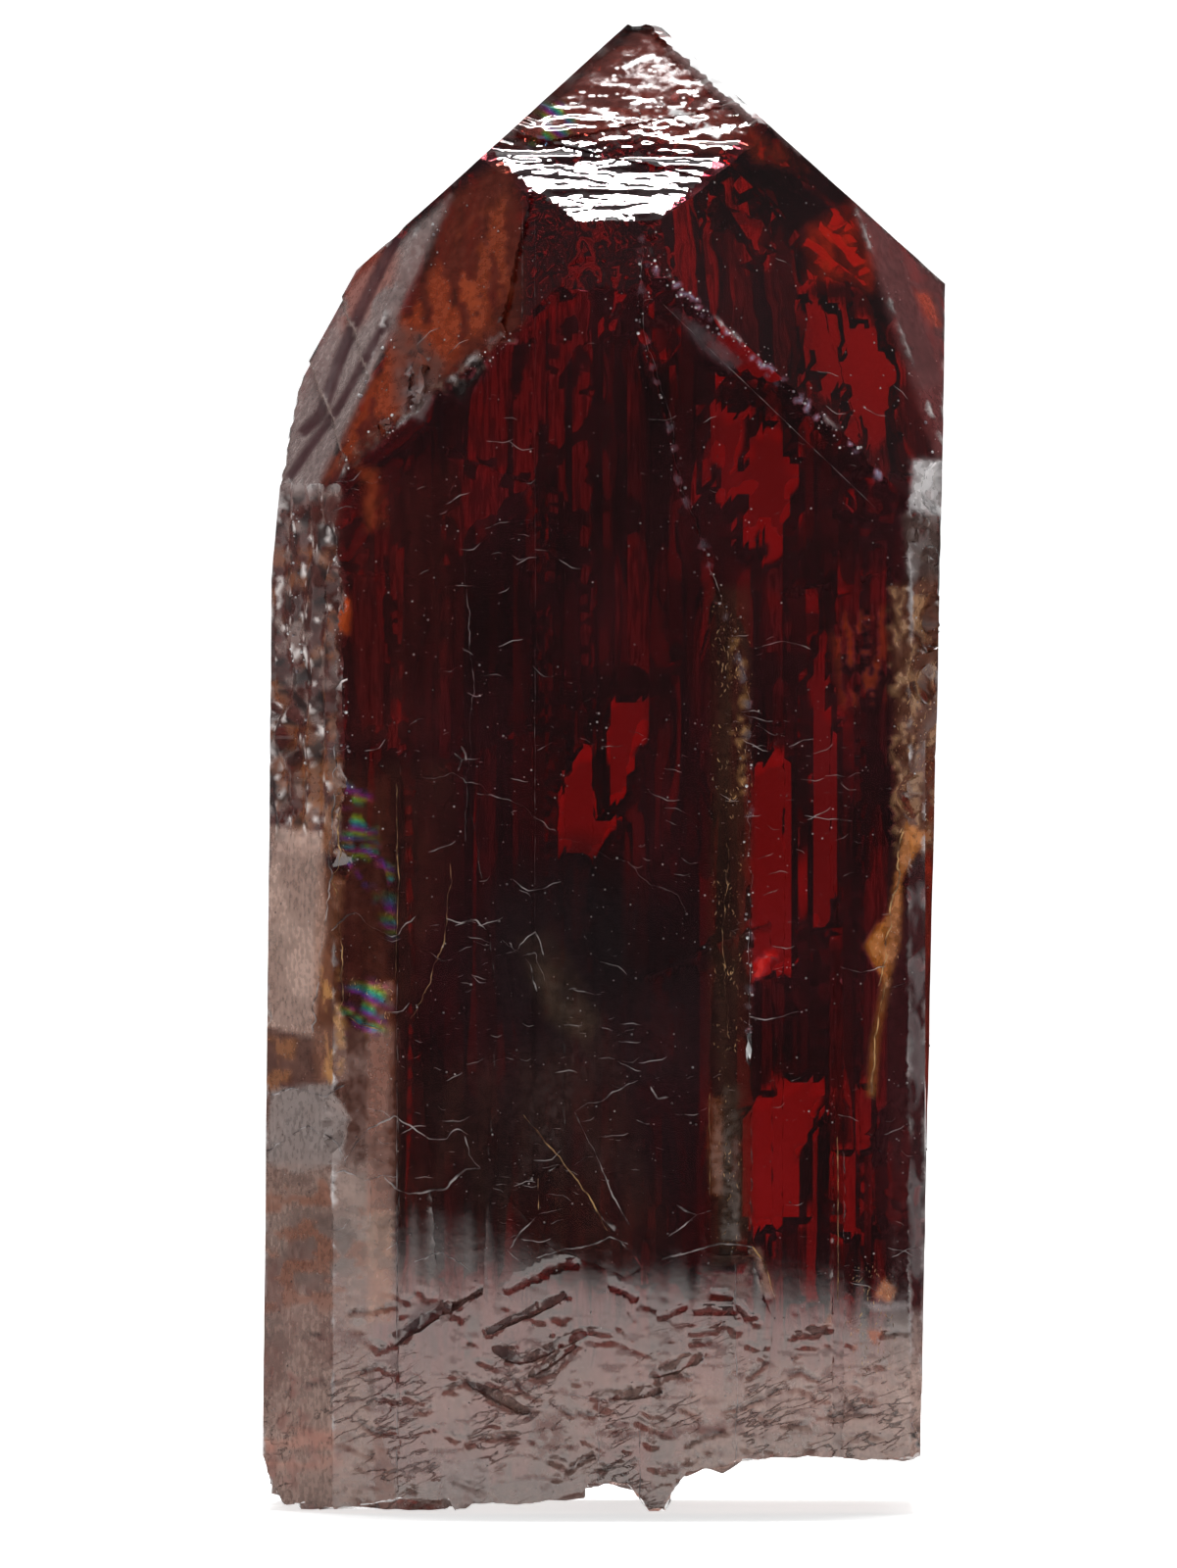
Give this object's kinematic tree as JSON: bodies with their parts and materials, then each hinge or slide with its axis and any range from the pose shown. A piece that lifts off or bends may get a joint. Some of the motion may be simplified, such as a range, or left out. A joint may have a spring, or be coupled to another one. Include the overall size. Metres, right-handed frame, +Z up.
{
  "type": "zircon crystal",
  "caption": "Red-brown see-through zircon crystal: a stout square prism with a faceted point, stepped and chipped faces and a ragged broken base that it stands on.",
  "frame": {"origin": "on the ground under the middle of the crystal's box", "axes": "+Z up the long axis of the prism, +X to the right across the broad front face, +Y away from the viewer, into the crystal"},
  "size_m": [0.0184, 0.0132, 0.04],
  "materials": {
    "zircon": "glossy deep red-brown, see-through in places, with etched and chipped areas"
  },
  "bodies": {
    "root": {"zircon_crystal": "zircon"}
  },
  "joints": []
}
